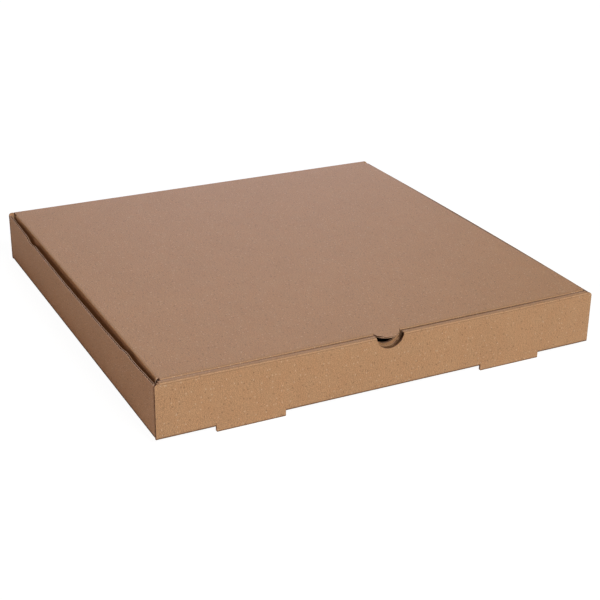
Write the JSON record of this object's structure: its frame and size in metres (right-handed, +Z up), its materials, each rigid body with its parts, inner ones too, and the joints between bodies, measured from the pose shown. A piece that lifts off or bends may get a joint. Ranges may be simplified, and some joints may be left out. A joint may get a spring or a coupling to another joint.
{
  "type": "pizza box",
  "caption": "Square shallow pizza box of folded kraft corrugated board, with a rolled-over front wall, thumb notch, front feet and a tuck-in hinged lid.",
  "frame": {"origin": "middle of the base panel's underside", "axes": "+Z up through the lid, -Y out of the front wall with the thumb notch, +X to the right as seen from the front"},
  "size_m": [0.3344, 0.3312, 0.0426],
  "materials": {
    "kraft_board": "matt recycled kraft paper over small flutes"
  },
  "bodies": {
    "tray": {"tray": "kraft_board"},
    "lid": {"lid": "kraft_board"}
  },
  "joints": [
    {"name": "lid_hinge", "type": "hinge", "parent": "tray", "child": "lid", "pos_m": [0, 0.165, 0.039], "axis": [-1, 0, 0], "range_deg": [0, 180]}
  ]
}
